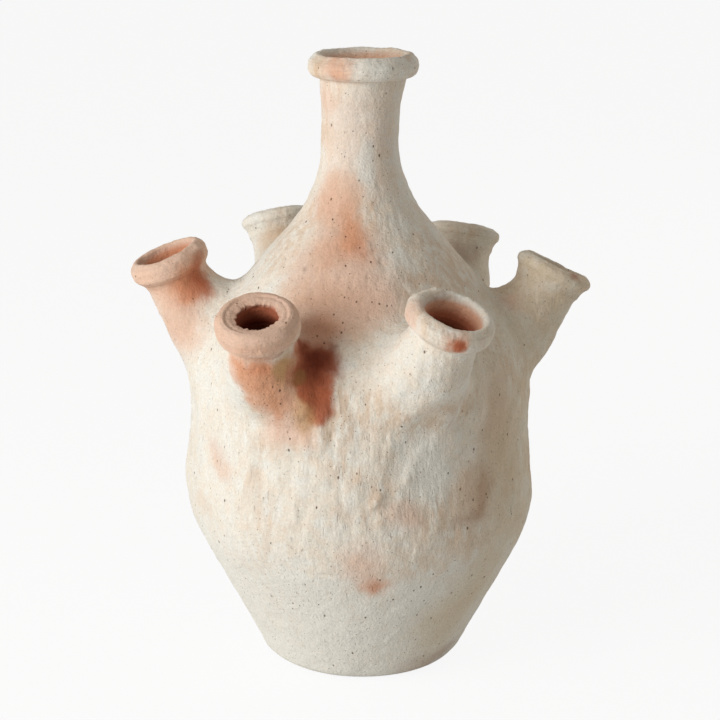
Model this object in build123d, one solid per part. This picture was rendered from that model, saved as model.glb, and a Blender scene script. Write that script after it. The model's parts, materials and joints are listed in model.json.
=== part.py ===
# Urn planter of unglazed terracotta: a thrown pot with a tall central neck and
# six short spouts luted round its shoulder.
#
# Millimetres, +Z up. The origin is the centre of the foot, on the floor. The
# side that faces the viewer is -Y, and +X is to the viewer's right.
#
# The pot is built as a potter builds it: a lower bowl, an upper wall with the
# conical shoulder, a neck, a rolled collar on the neck, and six hollow stems
# with a rolled collar each. The pieces meet face to face along their seams.

import os
from math import cos, radians, sin, tan

from build123d import *

# Overall size and clay thickness
overall_height = 510.0
wall = 9.0                # thrown wall, measured square to its surface
floor_thickness = 12.0
neck_bore_radius = 23.0   # straight passage through the neck

# Outer outline of the pot. Its side is made of straight stretches; each pair of
# values is the corner at which two of them would meet before rounding.
heel_corner_radius = 82.0
belly_corner_radius = 149.1
belly_corner_height = 134.2
shoulder_corner_radius = 133.1
shoulder_corner_height = 279.6
neck_radius = 31.3
neck_root_height = 403.8
neck_flare_drop = 23.0    # the neck spreads over this last stretch, up to its collar
neck_top_radius = 35.0

# Rounding of those corners
heel_round = 18.0
belly_round = 110.0
shoulder_round = 85.0
throat_round = 100.0
flare_round = 60.0
inner_heel_round = 12.0

# Luted seams of the thrown sections, as heights above the floor
bowl_seam_height = 118.0
neck_seam_height = 414.0

# Rolled collar of the neck
neck_rim_height = 19.0
neck_rim_outer_radius = 45.0
neck_rim_crest_radius = 37.5
neck_rim_dish_depth = 13.0

# Spout stems: thrown tubes that spread like a trumpet towards the shoulder
stem_radius = 25.0        # under the collar
stem_waist_radius = 30.5  # further down, where the clay starts to spread
stem_waist_depth = 44.0   # from the mouth, along the stem
stem_waist_shift = 5.5    # the clay spreads towards the neck, not outwards
stem_root_radius = 58.0   # where the stem would end inside the pot
stem_root_reach = 77.0    # distance of that end from the pot's axis
stem_root_height = 235.0
throat_radius = 18.0      # straight bore under the mouth
throat_length = 30.0
passage_root_radius = 38.0
passage_root_reach = 80.0

# Rolled collars of the spouts, with a funnel down to the throat
rim_height = 20.0
rim_outer_radius = 32.5
rim_crest_radius = 25.2
rim_dish_depth = 18.0
rim_swell_low = 14.5      # the collar is widest between these two depths
rim_swell_high = 6.0
rim_crest_round = 2.6
rim_swell_round = 4.5

# One collar has a broad flat lip round a smaller hole instead of a funnel
broad_lip_crest_radius = 27.0
broad_lip_hole_radius = 16.5
broad_lip_dish_depth = 3.0

# Where each spout's mouth stands: its distance from the pot's axis, its height
left_reach = 161.0
left_height = 346.5
front_left_reach = 165.0
front_left_height = 334.0
front_right_reach = 165.0
front_right_height = 337.0
right_reach = 167.5
right_height = 330.0
rear_right_reach = 165.0
rear_right_height = 338.0
rear_left_reach = 165.0
rear_left_height = 349.0

FUNNEL = (rim_crest_radius, throat_radius, rim_dish_depth)
BROAD_LIP = (broad_lip_crest_radius, broad_lip_hole_radius, broad_lip_dish_depth)

# The six spouts, one by one, since each was set by eye. Seen from above, a
# bearing of 0 is towards the viewer and 90 is to the viewer's right.
# position: (bearing, reach from the axis, height) of the mouth's centre
# lean: (bearing that the mouth faces, tilt from upright)
# mouth: (radius of the lip's crest, radius of the hole, depth of the dish)
SPOUTS = {
    "left": {
        "position": (-92.0, left_reach, left_height),
        "lean": (-84.0, 21.0),
        "mouth": FUNNEL,
    },
    "front_left": {
        "position": (-28.0, front_left_reach, front_left_height),
        "lean": (-10.6, 22.0),
        "mouth": BROAD_LIP,
    },
    "front_right": {
        "position": (25.9, front_right_reach, front_right_height),
        "lean": (46.0, 23.0),
        "mouth": FUNNEL,
    },
    "right": {
        "position": (99.6, right_reach, right_height),
        "lean": (105.0, 25.0),
        "mouth": FUNNEL,
    },
    "rear_right": {
        "position": (146.0, rear_right_reach, rear_right_height),
        "lean": (158.0, 21.0),
        "mouth": FUNNEL,
    },
    "rear_left": {
        "position": (-153.0, rear_left_reach, rear_left_height),
        "lean": (-149.0, 22.0),
        "mouth": FUNNEL,
    },
}

# Worked out from the values above
neck_top_height = overall_height - neck_rim_height
neck_flare_height = neck_top_height - neck_flare_drop
room_for_rounds = 0.98  # share of a straight stretch that two rounds may take up


def inset_corner(before, corner, after, inset_before, inset_after):
    """Corner of an outline that runs inside another by two given distances."""
    first = (Vector(*corner) - Vector(*before)).normalized()
    second = (Vector(*after) - Vector(*corner)).normalized()
    inward_first = Vector(-first.Y, first.X)
    inward_second = Vector(-second.Y, second.X)
    turn = inward_first.dot(inward_second)
    along_first = (inset_before - inset_after * turn) / (1 - turn**2)
    along_second = (inset_after - inset_before * turn) / (1 - turn**2)
    moved = Vector(*corner) + inward_first * along_first + inward_second * along_second
    return (moved.X, moved.Y)


def fitted_rounds(corners, rounds):
    """The rounds of an outline, made smaller where a stretch is too short for two."""
    points = [Vector(*corner) for corner in corners]
    stretches = [after - before for before, after in zip(points, points[1:])]
    cuts = [0.0]  # length that each corner's round takes from both its stretches
    for radius, before, after in zip(rounds, stretches, stretches[1:]):
        cuts.append(radius * tan(radians(before.get_angle(after)) / 2))
    cuts.append(0.0)
    shares = []
    for stretch, first_cut, last_cut in zip(stretches, cuts, cuts[1:]):
        wanted = max(first_cut + last_cut, 1e-9)
        shares.append(min(1.0, room_for_rounds * stretch.length / wanted))
    return [radius * min(pair) for radius, pair in zip(rounds, zip(shares, shares[1:]))]


def turned(corners, rounds):
    """Solid of revolution about Z of a closed outline of (radius, height) corners.

    rounds has one fillet for each corner between the first and the last, and
    the outline is closed along the axis.
    """
    points = [(radius, 0, height) for radius, height in corners]
    side = FilletPolyline(*points, radius=fitted_rounds(corners, rounds))
    top = Line(points[-1], (0, 0, points[-1][2]))
    axis_line = Line((0, 0, points[-1][2]), points[0])
    return revolve(make_face(side + top + axis_line), Axis.Z)


def outer_pot():
    """The pot without its collars and spouts, as if it were solid."""
    corners = [
        (0, 0),
        (heel_corner_radius, 0),
        (belly_corner_radius, belly_corner_height),
        (shoulder_corner_radius, shoulder_corner_height),
        (neck_radius, neck_root_height),
        (neck_radius, neck_flare_height),
        (neck_top_radius, neck_top_height),
    ]
    rounds = [heel_round, belly_round, shoulder_round, throat_round, flare_round]
    return turned(corners, rounds)


def pot_cavity():
    """The hollow of the pot, up through the neck's straight bore."""
    heel = (heel_corner_radius, 0)
    belly = (belly_corner_radius, belly_corner_height)
    shoulder = (shoulder_corner_radius, shoulder_corner_height)
    bore_corner = (neck_radius, neck_root_height)
    inner_bore = inset_corner(
        shoulder, bore_corner, (neck_radius, neck_top_height),
        wall, neck_radius - neck_bore_radius,
    )
    corners = [
        (0, floor_thickness),
        inset_corner((0, 0), heel, belly, floor_thickness, wall),
        inset_corner(heel, belly, shoulder, wall, wall),
        inset_corner(belly, shoulder, bore_corner, wall, wall),
        inner_bore,
        (neck_bore_radius, neck_top_height),
    ]
    rounds = [
        inner_heel_round,
        belly_round - wall,
        shoulder_round - wall,
        throat_round + wall,
    ]
    return turned(corners, rounds)


def slice_between(solid, low, high):
    """The part of a turned solid that lies between two heights."""
    reach = 2 * belly_corner_radius
    slab = Cylinder(reach, high - low, align=(Align.CENTER, Align.CENTER, Align.MIN))
    return solid & Pos(0, 0, low) * slab


def collar(throat, seat, outer, crest, height, swell_low, swell_high, dish):
    """A rolled collar round +Z, with its crest at height 0 and its seat below."""
    crest_centre = inset_corner(
        (outer, -swell_high), (crest, 0), (throat, -dish), rim_crest_round, rim_crest_round
    )
    lift = -(crest_centre[1] + rim_crest_round)  # brings the rounded crest up to 0
    roll = FilletPolyline(
        (seat, 0, -height),
        (outer, 0, lift - swell_low),
        (outer, 0, lift - swell_high),
        (crest, 0, lift),
        (throat, 0, lift - dish),
        radius=[rim_swell_round, rim_swell_round, rim_crest_round],
    )
    bore_line = Line((throat, 0, lift - dish), (throat, 0, -height))
    seat_line = Line((throat, 0, -height), (seat, 0, -height))
    return revolve(make_face(roll + bore_line + seat_line), Axis.Z)


def compass(bearing, reach, height):
    """Point at a bearing seen from above, 0 towards the viewer, 90 to the right."""
    turn = radians(bearing)
    return Vector(reach * sin(turn), -reach * cos(turn), height)


def mouth_plane(spout):
    """Plane of a spout's mouth: its Z is the way that the mouth faces."""
    bearing, tilt = spout["lean"]
    facing = compass(bearing, sin(radians(tilt)), cos(radians(tilt)))
    across = compass(bearing + 90, 1, 0)
    return Plane(origin=compass(*spout["position"]), x_dir=across, z_dir=facing)


def root_plane(spout, reach):
    """Level plane inside the pot at which a spout's stem would end."""
    bearing = spout["position"][0]
    return Plane(
        origin=compass(bearing, reach, stem_root_height),
        x_dir=compass(spout["lean"][0] + 90, 1, 0),
        z_dir=(0, 0, 1),
    )


def stem_body(spout):
    """The outside of a spout's stem as a solid that reaches into the pot."""
    mouth = mouth_plane(spout)
    waist = mouth.offset(-stem_waist_depth) * Pos(0, stem_waist_shift)
    sections = [
        root_plane(spout, stem_root_reach) * Circle(stem_root_radius),
        waist * Circle(stem_waist_radius),
        mouth.offset(-rim_height) * Circle(stem_radius),
    ]
    return loft(sections)


def stem_passage(spout):
    """The hollow of a spout's stem, from its seat through the pot's wall."""
    mouth = mouth_plane(spout)
    throat_end = rim_height + throat_length
    bore = mouth.offset(-throat_end) * Cylinder(
        throat_radius, throat_length, align=(Align.CENTER, Align.CENTER, Align.MIN)
    )
    sections = [
        root_plane(spout, passage_root_reach) * Circle(passage_root_radius),
        mouth.offset(-throat_end) * Circle(throat_radius),
    ]
    return bore + loft(sections)


def spout_collar(spout):
    """The rolled collar that closes a spout, on its mouth plane."""
    crest, hole, dish = spout["mouth"]
    ring = collar(
        throat=hole,
        seat=stem_radius,
        outer=rim_outer_radius,
        crest=crest,
        height=rim_height,
        swell_low=rim_swell_low,
        swell_high=rim_swell_high,
        dish=dish,
    )
    return mouth_plane(spout) * ring


def build():
    """Every piece of the urn by its name."""
    pieces = {}
    solid_pot = outer_pot()
    shell = solid_pot - pot_cavity()
    pieces["base_bowl"] = slice_between(shell, 0, bowl_seam_height)
    pieces["body_wall"] = slice_between(shell, bowl_seam_height, neck_seam_height)
    pieces["neck"] = slice_between(shell, neck_seam_height, neck_top_height)
    pieces["neck_rim"] = Pos(0, 0, overall_height) * collar(
        throat=neck_bore_radius,
        seat=neck_top_radius,
        outer=neck_rim_outer_radius,
        crest=neck_rim_crest_radius,
        height=neck_rim_height,
        swell_low=rim_swell_low,
        swell_high=rim_swell_high,
        dish=neck_rim_dish_depth,
    )
    for place, spout in SPOUTS.items():
        passage = stem_passage(spout)
        pieces["spout_" + place] = stem_body(spout) - solid_pot - passage
        pieces["spout_rim_" + place] = spout_collar(spout)
        pieces["body_wall"] = pieces["body_wall"] - passage
    return pieces


os.makedirs("parts", exist_ok=True)
for name, piece in build().items():
    export_step(piece, os.path.join("parts", name + ".step"))
    size = piece.bounding_box().size
    print(f"{name}: {piece.volume / 1000:.1f} cm3, {size.X:.1f} x {size.Y:.1f} x {size.Z:.1f} mm")
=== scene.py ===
# %% [markdown]
# # A whitewashed terracotta urn with six spouts
#
# The real urn was thrown and rolled in sixteen parts: a bowl, an upper wall, a
# neck, a rolled collar on the neck, and six hollow stems with a collar each.
# The potter smeared the joints over with wet clay, dried and fired the pot, and
# brushed thin white slip over it. This lesson makes the same sixteen parts,
# smears their joints, dents and scratches the clay, and then fires and washes
# it with node materials.
#
# The measured model is loaded first. It fixes every size and place below.

# %% Load the measured model
import json
from math import acos, cos, pi, radians, sin, tan

import bmesh
import bpy
import numpy as np
from mathutils import Euler, Matrix, Vector, noise


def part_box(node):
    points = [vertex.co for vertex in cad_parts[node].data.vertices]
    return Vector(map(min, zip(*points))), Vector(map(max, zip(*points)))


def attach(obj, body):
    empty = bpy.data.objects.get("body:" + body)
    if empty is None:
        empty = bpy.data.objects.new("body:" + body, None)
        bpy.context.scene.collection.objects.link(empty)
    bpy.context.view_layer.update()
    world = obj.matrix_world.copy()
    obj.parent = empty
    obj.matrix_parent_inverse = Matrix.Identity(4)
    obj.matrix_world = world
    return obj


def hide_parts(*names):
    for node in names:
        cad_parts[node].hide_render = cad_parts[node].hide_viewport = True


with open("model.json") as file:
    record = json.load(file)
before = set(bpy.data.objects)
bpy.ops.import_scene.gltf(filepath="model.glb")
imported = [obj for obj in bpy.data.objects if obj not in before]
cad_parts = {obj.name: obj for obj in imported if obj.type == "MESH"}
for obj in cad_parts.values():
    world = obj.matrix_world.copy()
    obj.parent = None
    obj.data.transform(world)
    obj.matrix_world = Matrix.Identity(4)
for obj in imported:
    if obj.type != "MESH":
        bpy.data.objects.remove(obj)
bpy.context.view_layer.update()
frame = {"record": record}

MM = 0.001  # the scene is in metres, and a potter thinks in millimetres

# %% [markdown]
# ## Reading the places of the parts
#
# The heights of the joints are the tops of the measured parts. Each spout's
# bore is recorded with its middle and its direction, so the mouth of the spout
# is found by going up the bore from there. The mouth is the middle of the
# circle on which the collar's crest lies.

# %% Read the joints and the six mouths
foot_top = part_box("base_bowl")[1].z
wall_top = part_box("body_wall")[1].z
neck_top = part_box("neck")[1].z
urn_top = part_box("neck_rim")[1].z

PLACES = ["left", "front_left", "front_right", "right", "rear_right", "rear_left"]
COLLAR_HEIGHT = 20 * MM
THROAT_LENGTH = 30 * MM   # straight bore below a funnel mouth
BORES = {mount["name"]: mount for mount in frame["record"]["mounts"]}


def mouth_of(place):
    """Centre of a spout's mouth, the way it faces, and the radius of its hole."""
    bore = BORES["spout_bore_" + place]
    facing = Vector(bore["axis"]).normalized()
    length = bore["dims"]["length_mm"] * MM
    bottom = COLLAR_HEIGHT if place == "front_left" else COLLAR_HEIGHT + THROAT_LENGTH
    centre = Vector(bore["pos_m"]) + facing * (bottom - length / 2)
    return centre, facing, bore["dims"]["r_mm"] * MM


MOUTHS = {place: mouth_of(place) for place in PLACES}
for place, (centre, facing, hole) in MOUTHS.items():
    print(place, "mouth", [round(v / MM, 1) for v in centre], "hole", round(hole / MM, 1))

# %% [markdown]
# ## The outline of the pot
#
# A thrown pot is its outline turned round an axis. The outline here is a few
# straight stretches whose corners are rounded with arcs, which is how a potter
# judges a profile: heel, belly, shoulder, throat and the flare under the rim.
# A spline would do too, but arcs keep the wall the same thickness everywhere.

# %% Draw the outline
WALL = 9 * MM
FLOOR = 12 * MM
NECK_BORE = BORES["neck_bore"]["dims"]["r_mm"] * MM
CORNERS = [(0, 0), (82, 0), (149.1, 134.2), (133.1, 279.6), (31.3, 403.8), (31.3, 468), (35, 491)]
ROUNDS = [18, 110, 85, 100, 60]


def rounded(corners, rounds):
    """Dense points along straight stretches whose corners are rounded by arcs."""
    points = [np.array(corners[0], float)]
    for before, corner, after, radius in zip(corners, corners[1:], corners[2:], rounds):
        before, corner, after = (np.array(p, float) for p in (before, corner, after))
        way_in = (corner - before) / np.linalg.norm(corner - before)
        way_out = (after - corner) / np.linalg.norm(after - corner)
        turn = acos(np.clip(way_in @ way_out, -1, 1))
        across = way_out - way_in * (way_in @ way_out)
        across /= max(np.linalg.norm(across), 1e-9)
        start = corner - way_in * radius * tan(turn / 2)
        for angle in np.linspace(0, turn, 25):
            arc = way_in * sin(angle) + across * (1 - cos(angle))
            points.append(start + radius * arc)
    points.append(np.array(corners[-1], float))
    return np.array(points)


def spaced(points, spacing):
    """The same line with points at an even spacing."""
    lengths = np.append(0, np.cumsum(np.linalg.norm(np.diff(points, axis=0), axis=1)))
    stops = np.linspace(0, lengths[-1], max(2, round(lengths[-1] / spacing) + 1))
    return np.stack([np.interp(stops, lengths, column) for column in points.T], axis=1)


outer_line = spaced(rounded(CORNERS, ROUNDS) * MM, 0.5 * MM)
tangents = np.gradient(outer_line, axis=0)
tangents /= np.linalg.norm(tangents, axis=1)[:, None]
outwards = np.stack([tangents[:, 1], -tangents[:, 0]], axis=1)
inner_line = outer_line - outwards * WALL
inner_line[:, 1] = np.maximum(inner_line[:, 1], FLOOR)
in_neck = outer_line[:, 1] > wall_top - 40 * MM
inner_line[:, 0] = np.maximum(inner_line[:, 0], np.where(in_neck, NECK_BORE, 0))
print("outline:", len(outer_line), "points, widest", round(outer_line[:, 0].max() * 2 / MM), "mm")

# %% [markdown]
# ## Throwing the turned parts
#
# Each thrown part is a closed ring of outline: up the outside, across the
# joint, down the inside and across the other joint. Spinning the ring gives a
# wall with a real thickness, which is closed without any Solidify. The outside
# has a point about every 2 mm, so that dents and scratches can be pressed into
# it later. The inside is seen only through the mouths and is much coarser.

# %% Spin a ring of outline
OUTSIDE_SPACING = 2.0 * MM
INSIDE_SPACING = 7 * MM
TURNS = 440  # steps round the axis


def stretch(line, low, high, spacing):
    """The part of a line between two heights, evenly spaced, from the lower end."""
    steps = np.append(0, np.cumsum(np.linalg.norm(np.diff(line, axis=0), axis=1)))
    rising = np.maximum.accumulate(line[:, 1] + steps * 1e-9)
    first, last = np.interp([low, high], rising, steps)
    stops = np.linspace(first, last, max(2, round((last - first) / spacing) + 1))
    return np.stack([np.interp(stops, steps, line[:, 0]), np.interp(stops, steps, line[:, 1])], axis=1)


def spun(profile, closed, steps):
    """A bmesh turned about Z from (radius, height) points.

    One eighth is spun, and then it is doubled three times: spinning the whole
    turn step by step takes many times as long.
    """
    bm = bmesh.new()
    verts = [bm.verts.new((radius, 0, height)) for radius, height in profile]
    edges = [bm.edges.new(pair) for pair in zip(verts, verts[1:])]
    if closed:
        edges.append(bm.edges.new((verts[-1], verts[0])))
    bmesh.ops.spin(
        bm, geom=verts + edges, cent=(0, 0, 0), axis=(0, 0, 1), dvec=(0, 0, 0),
        angle=pi / 4, steps=steps // 8, use_merge=False, use_duplicate=False,
    )
    for angle in (pi / 4, pi / 2, pi):
        copy = bmesh.ops.duplicate(bm, geom=bm.verts[:] + bm.edges[:] + bm.faces[:])
        moved = [item for item in copy["geom"] if isinstance(item, bmesh.types.BMVert)]
        bmesh.ops.rotate(bm, verts=moved, cent=(0, 0, 0), matrix=Matrix.Rotation(angle, 3, "Z"))
    bmesh.ops.remove_doubles(bm, verts=bm.verts, dist=1e-6)
    bmesh.ops.recalc_face_normals(bm, faces=bm.faces)
    return bm


def make_object(name, bm):
    """A new object at the origin that holds the bmesh."""
    mesh = bpy.data.meshes.new(name)
    bm.to_mesh(mesh)
    bm.free()
    piece = bpy.data.objects.new(name, mesh)
    bpy.context.scene.collection.objects.link(piece)
    return piece


def thrown_part(name, low, high):
    """A turned part of the pot between two heights."""
    outside = stretch(outer_line, low, high, OUTSIDE_SPACING)
    inside = stretch(inner_line, max(low, FLOOR), high, INSIDE_SPACING)[::-1]
    on_floor = low == 0
    if on_floor:
        profile = np.vstack([outside, inside, [[0, FLOOR]]])
        profile[0] = (0, 0)
    else:
        profile = np.vstack([outside, inside])
    part = make_object(name, spun(profile, not on_floor, TURNS))
    print(name, "thrown:", len(part.data.polygons), "faces")
    return part


bowl = thrown_part("clay_bowl", 0, foot_top)
wall = thrown_part("clay_wall", foot_top, wall_top)
neck = thrown_part("clay_neck", wall_top, neck_top)

# %% [markdown]
# ## Six trumpets of clay
#
# A stem is a tube that spreads like a trumpet towards the pot. It is described
# by three circles: one under the collar, one at the waist, and one where the
# tube would end inside the pot. A smooth curve through the three gives a circle
# at any length along the stem. The same description makes the mesh here and
# later tells, for any point in space, how far it is from the stem.

# %% Describe a stem by three circles
STEM_RADIUS = 25 * MM
WAIST_RADIUS = 30.5 * MM
WAIST_DEPTH = 44 * MM
WAIST_SHIFT = 5.5 * MM     # the clay spreads towards the neck
ROOT_RADIUS = 58 * MM
ROOT_REACH = 77 * MM
ROOT_HEIGHT = 235 * MM
PASSAGE_RADIUS = 38 * MM   # the hollow where it opens into the pot
PASSAGE_REACH = 80 * MM
FLARE_LENGTH = 3.4 * MM    # the stem swells again just under its collar
FLARES = {"front_left": 0.4 * MM}
USUAL_FLARE = 3.0 * MM
SECTIONS = 61              # circles kept along each stem
UP = Vector((0, 0, 1))


def through_three(values, at, where):
    """The smooth curve through three values, read at many places."""
    first, middle, last = (np.asarray(v, float) for v in values)
    a, b, c = at
    weights = [
        (where - b) * (where - c) / ((a - b) * (a - c)),
        (where - a) * (where - c) / ((b - a) * (b - c)),
        (where - a) * (where - b) / ((c - a) * (c - b)),
    ]
    return sum(np.multiply.outer(w, v) for w, v in zip(weights, (first, middle, last)))


def smooth_step(low, high, values):
    """0 below low, 1 above high and a smooth rise in between."""
    share = np.clip((np.asarray(values) - low) / (high - low), 0, 1)
    return share * share * (3 - 2 * share)


def describe_stem(place):
    """Centres, directions and radii of the circles along a stem."""
    mouth, facing, hole = MOUTHS[place]
    level = Vector((facing.x, facing.y, 0)).normalized()
    across = UP.cross(level)
    towards_neck = facing.cross(across)
    outward = Vector((mouth.x, mouth.y, 0)).normalized()
    seat = mouth - facing * COLLAR_HEIGHT
    waist = mouth - facing * WAIST_DEPTH + towards_neck * WAIST_SHIFT
    root = outward * ROOT_REACH + UP * ROOT_HEIGHT
    marks = [0, (waist - seat).length]
    marks.append(marks[1] + (root - waist).length)
    along = np.linspace(0, marks[2], SECTIONS)
    centres = through_three([seat, waist, root], marks, along)
    radii = through_three([STEM_RADIUS, WAIST_RADIUS, ROOT_RADIUS], marks, along)
    flare = FLARES.get(place, USUAL_FLARE)
    radii += flare * np.exp(-along / FLARE_LENGTH)
    turned = smooth_step(marks[1] * 0.5, marks[2], along)[:, None]
    normals = np.array(facing) * (1 - turned) + np.array(UP) * turned
    normals /= np.linalg.norm(normals, axis=1)[:, None]
    return {
        "place": place, "mouth": mouth, "facing": facing, "across": across,
        "outward": outward, "hole": hole, "flare": flare, "along": along,
        "centres": centres, "normals": normals, "radii": radii,
        "slopes": np.gradient(radii, along),
    }


STEMS = [describe_stem(place) for place in PLACES]
print("stems are", [round(stem["along"][-1] / MM) for stem in STEMS], "mm long to their ends inside")

# %% [markdown]
# ## Rings, bridged into tubes
#
# Each circle is a ring of vertices, and neighbouring rings are bridged with
# quads. The two ends are capped, because the tube is about to be cut with
# booleans, which want closed solids.

# %% Bridge circles into a tube
STEM_SIDES = 160
PASSAGE_SIDES = 56


def ring_matrix(centre, normal, across):
    """A frame at the centre whose Z is the normal."""
    z = Vector(normal).normalized()
    y = z.cross(Vector(across)).normalized()
    x = y.cross(z)
    return Matrix.Translation(Vector(centre)) @ Matrix((x, y, z)).transposed().to_4x4()


def tube(name, circles, sides):
    """A closed tube through circles of (centre, normal, across, radius)."""
    bm = bmesh.new()
    before = None
    for number, (centre, normal, across, radius) in enumerate(circles):
        is_end = number in (0, len(circles) - 1)
        made = bmesh.ops.create_circle(
            bm, cap_ends=is_end, radius=radius, segments=sides,
            matrix=ring_matrix(centre, normal, across),
        )
        rim = list({e for v in made["verts"] for e in v.link_edges})
        if before:
            bmesh.ops.bridge_loops(bm, edges=before + rim)
        before = rim
    bmesh.ops.recalc_face_normals(bm, faces=bm.faces)
    return make_object(name, bm)


def stem_solid(stem):
    """The outside of a stem, as a solid that reaches into the pot."""
    finer = np.linspace(0, SECTIONS - 1, round(stem["along"][-1] / (1.3 * MM)))
    index = np.arange(SECTIONS)
    circles = []
    for at in finer:
        centre = [np.interp(at, index, column) for column in stem["centres"].T]
        normal = [np.interp(at, index, column) for column in stem["normals"].T]
        circles.append((centre, normal, stem["across"], np.interp(at, index, stem["radii"])))
    return tube("clay_stem_" + stem["place"], circles, STEM_SIDES)


def passage_solid(stem):
    """The hollow of a stem, from above its seat down into the pot."""
    mouth, facing, across = stem["mouth"], stem["facing"], stem["across"]
    bore = 18 * MM
    above = mouth - facing * (COLLAR_HEIGHT - 2 * MM)
    throat = mouth - facing * (COLLAR_HEIGHT + THROAT_LENGTH)
    root = stem["outward"] * PASSAGE_REACH + UP * ROOT_HEIGHT
    circles = [(above, facing, across, bore), (throat, facing, across, bore)]
    for share in np.linspace(0, 1, 7)[1:]:
        centre = throat.lerp(root, share)
        normal = facing.lerp(UP, share)
        circles.append((centre, normal, across, bore + (PASSAGE_RADIUS - bore) * share))
    return tube("hollow_" + stem["place"], circles, PASSAGE_SIDES)


stem_blanks = {stem["place"]: stem_solid(stem) for stem in STEMS}
hollows = {stem["place"]: passage_solid(stem) for stem in STEMS}
print("one stem:", len(stem_blanks["left"].data.polygons), "faces")

# %% [markdown]
# ## Cutting the stems to the shoulder
#
# A potter cuts the end of each stem to the curve of the shoulder and cuts a
# hole in the wall for it. Booleans do the same: each stem loses what is inside
# the pot, and stem and wall lose the hollow. The cutter for the stems is the
# pot's own outline spun with the same steps, so both sides of the joint meet.

# %% Cut with booleans
def cut(piece, *cutters):
    """Takes each cutter away from the piece and keeps the result as its mesh."""
    for cutter in cutters:
        change = piece.modifiers.new("cut", "BOOLEAN")
        change.operation = "DIFFERENCE"
        change.solver = "MANIFOLD"
        change.object = cutter
    bpy.context.view_layer.update()
    depsgraph = bpy.context.evaluated_depsgraph_get()
    mesh = bpy.data.meshes.new_from_object(piece.evaluated_get(depsgraph))
    old = piece.data
    piece.modifiers.clear()
    piece.data = mesh
    mesh.name = piece.name
    bpy.data.meshes.remove(old)


def throw_away(*pieces):
    """Removes helper objects that have done their work."""
    for piece in pieces:
        bpy.data.objects.remove(piece)


shoulder = stretch(outer_line, foot_top, wall_top, OUTSIDE_SPACING)
core_profile = np.vstack([[[0, foot_top]], shoulder, [[0, wall_top]]])
core = make_object("pot_core", spun(core_profile, False, TURNS))
for place in PLACES:
    cut(stem_blanks[place], core, hollows[place])
cut(wall, *hollows.values())
throw_away(core, *hollows.values())
print("wall after cutting:", len(wall.data.polygons), "faces")

# %% [markdown]
# ## Smearing the joints
#
# On the real pot no joint can be seen where a stem meets the shoulder: wet clay
# was smeared over it, and the stem flows into the pot. In the model the stem
# and the wall stay two pieces, so the smear has to be the same on both.
#
# The trick is to describe the pot and the stems as distances. For any point,
# one function says how far it is outside the pot, and another how far outside a
# stem. A soft minimum of the two is the distance to the smeared shape. Every
# point of the skin is moved onto that shape, and since the move depends on the
# point's place alone, the two sides of a joint move together and stay closed.

# %% How far a point is outside the pot, and outside a stem
SMEAR = 22 * MM        # how far from a joint the clay was smeared
RUN_OUT = 55 * MM      # how far below its end a stem still swells the belly

skin_heights = np.maximum.accumulate(outer_line[:, 1] + np.arange(len(outer_line)) * 1e-9)
skin_slopes = np.clip(np.gradient(outer_line[:, 0], skin_heights), -60, 60)


def pot_field(points):
    """Distance outside the pot, and the direction away from it."""
    across = np.linalg.norm(points[:, :2], axis=1)
    radius = np.interp(points[:, 2], skin_heights, outer_line[:, 0])
    slope = np.interp(points[:, 2], skin_heights, skin_slopes)
    lean = 1 / np.sqrt(1 + slope**2)
    level = points[:, :2] / np.maximum(across, 1e-6)[:, None]
    away = np.column_stack([level * lean[:, None], -slope * lean])
    return (across - radius) * lean, away


def stem_field(points, stem):
    """Distance outside a stem, the direction away from it, and the length along it."""
    centres, normals = stem["centres"], stem["normals"]
    above = points @ normals.T - np.sum(centres * normals, axis=1)
    after = np.clip(np.argmax(above >= 0, axis=1), 1, SECTIONS - 1)
    after[np.all(above < 0, axis=1)] = SECTIONS - 1
    rows = np.arange(len(points))
    low, high = above[rows, after - 1], above[rows, after]
    share = np.clip(low / np.where(np.abs(low - high) < 1e-9, 1e-9, low - high), 0, 1)
    at = after - 1 + share
    index = np.arange(SECTIONS)
    centre = np.column_stack([np.interp(at, index, column) for column in centres.T])
    normal = np.column_stack([np.interp(at, index, column) for column in normals.T])
    normal /= np.linalg.norm(normal, axis=1)[:, None]
    radius, slope = np.interp(at, index, stem["radii"]), np.interp(at, index, stem["slopes"])
    offset = points - centre
    beyond = np.sum(offset * normal, axis=1)
    offset -= normal * beyond[:, None]
    distance = np.linalg.norm(offset, axis=1)
    level = offset / np.maximum(distance, 1e-6)[:, None]
    lean = 1 / np.sqrt(1 + slope**2)
    below_end = np.where(at > SECTIONS - 1.001, np.maximum(-beyond, 0), 0)
    outside = (distance - radius) * lean + below_end**2 / RUN_OUT
    along = np.interp(at, index, stem["along"])
    turn = smooth_step(4 * MM, 20 * MM, along)[:, None]
    away = level * lean[:, None] + normal * (slope * lean)[:, None] * turn
    away /= np.linalg.norm(away, axis=1)[:, None]
    return outside, away, along


def near_stem(points, stem, margin):
    """Which points lie in the box of a stem, with a margin."""
    reach = stem["radii"][:, None] + margin
    low = (stem["centres"] - reach).min(axis=0)
    high = (stem["centres"] + reach).max(axis=0)
    return np.all((points > low) & (points < high), axis=1)


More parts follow.
